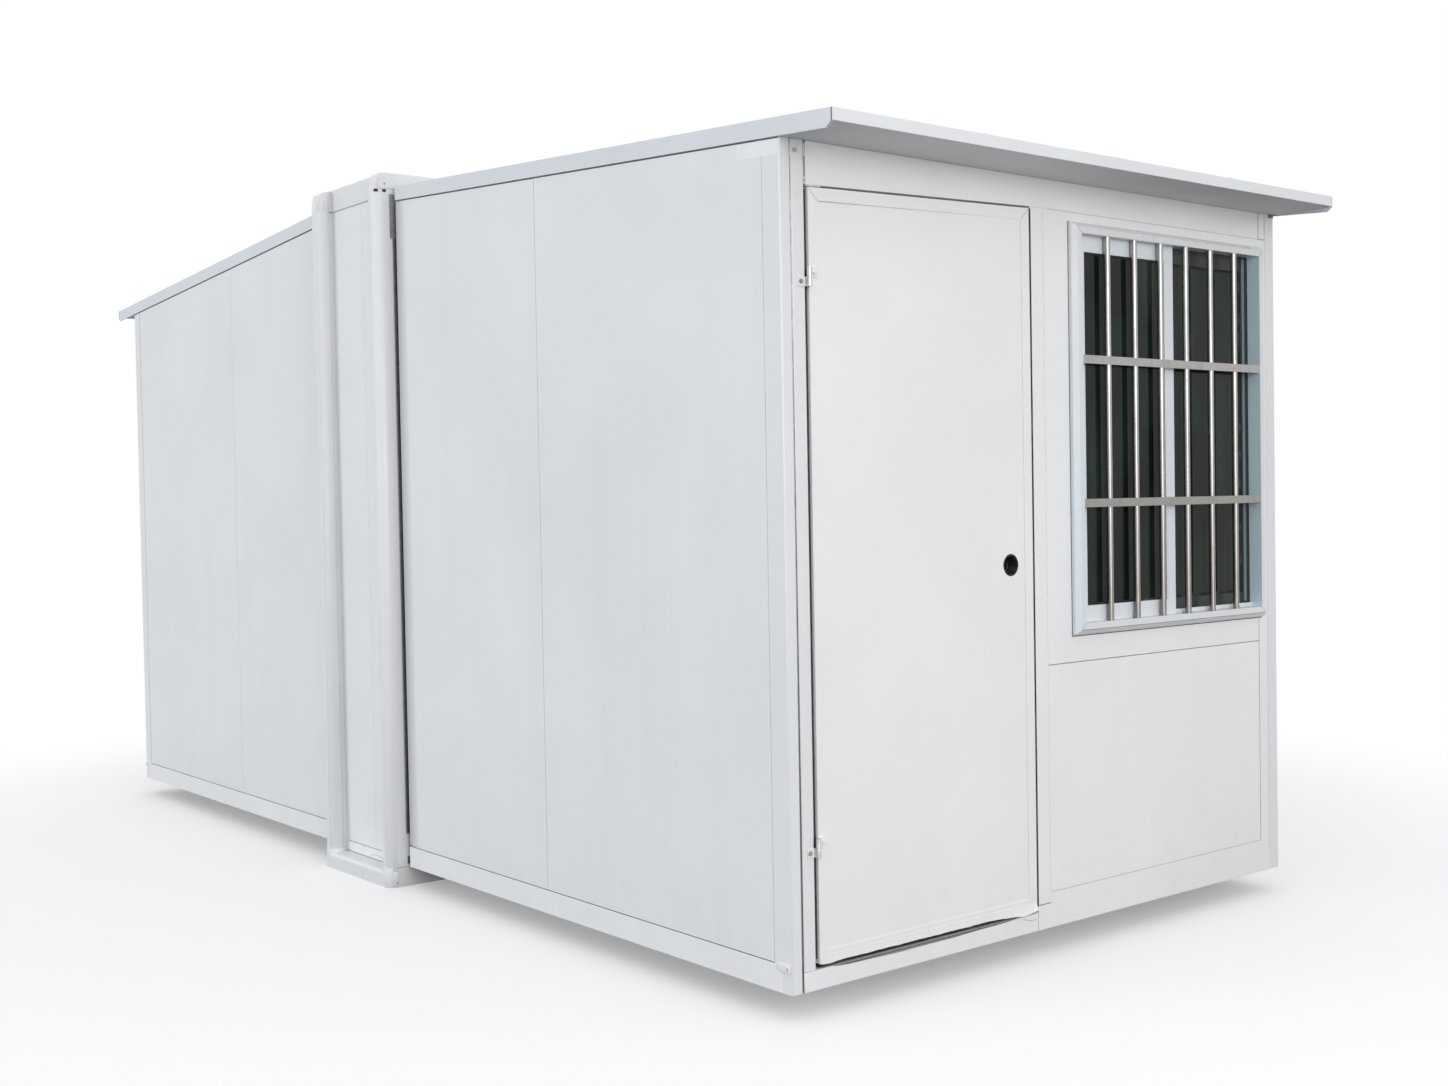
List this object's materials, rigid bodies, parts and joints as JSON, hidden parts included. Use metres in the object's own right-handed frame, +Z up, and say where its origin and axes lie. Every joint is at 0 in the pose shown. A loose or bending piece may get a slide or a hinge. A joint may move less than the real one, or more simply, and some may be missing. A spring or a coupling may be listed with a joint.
{
  "type": "folding cabin",
  "caption": "Small white folding cabin with a narrow core between two wings with sloping roofs, a hinged front door and a barred sliding window.",
  "frame": {"origin": "on the ground under the middle of the cabin", "axes": "+Z up, -Y towards the front wall with the door, -X towards the door's hinge side"},
  "size_m": [2.344, 5.12, 2.543],
  "materials": {
    "wall_panel": "satin white coated steel sheet",
    "door_panel": "satin white coated steel sheet",
    "frame_paint": "semi-gloss white paint on folded steel",
    "floor_board": "matt grey building board",
    "window_frame": "white powder coat",
    "floor_strip": "plain mill finish",
    "guard_steel": "brushed stainless tube",
    "foot_steel": "zinc plated",
    "window_glass": "dark reflecting glass",
    "seal_rubber": "black sealing strip"
  },
  "bodies": {
    "cabin": {"core_end_panel_left": "wall_panel", "core_end_panel_right": "wall_panel", "core_roof": "wall_panel", "front_end_wall_left": "wall_panel", "front_end_wall_right": "wall_panel", "front_roof": "wall_panel", "front_lower_panel": "wall_panel", "front_window_panel": "wall_panel", "back_end_wall_left": "wall_panel", "back_end_wall_right": "wall_panel", "back_wall": "wall_panel", "back_roof": "wall_panel", "core_base_frame": "frame_paint", "core_posts_left": "frame_paint", "core_posts_right": "frame_paint", "core_top_frame": "frame_paint", "front_sole_rails": "frame_paint", "front_corner_posts": "frame_paint", "front_head_rail": "frame_paint", "front_roof_trim": "frame_paint", "front_threshold": "frame_paint", "front_bottom_rail": "frame_paint", "hinge_jamb": "frame_paint", "front_stiles": "frame_paint", "window_casing": "frame_paint", "door_hinge_pins": "frame_paint", "back_sole_rails": "frame_paint", "back_corner_posts": "frame_paint", "back_head_rail": "frame_paint", "back_bottom_rail": "frame_paint", "back_roof_trim": "frame_paint", "core_floor": "floor_board", "front_floor": "floor_board", "back_floor": "floor_board", "window_sash_left": "window_frame", "window_sash_right": "window_frame", "floor_joint_strips": "floor_strip", "window_guard": "guard_steel", "front_feet": "foot_steel", "back_feet": "foot_steel", "window_glass": "window_glass", "wing_seals": "seal_rubber"},
    "door": {"door_leaf": "door_panel", "door_edge_trim": "door_panel", "door_hinge_knuckles": "frame_paint"}
  },
  "joints": [
    {"name": "door_swing", "type": "hinge", "parent": "cabin", "child": "door", "pos_m": [-1.013, -2.367, 1.152], "axis": [0, 0, -1], "range_deg": [0, 170]}
  ]
}
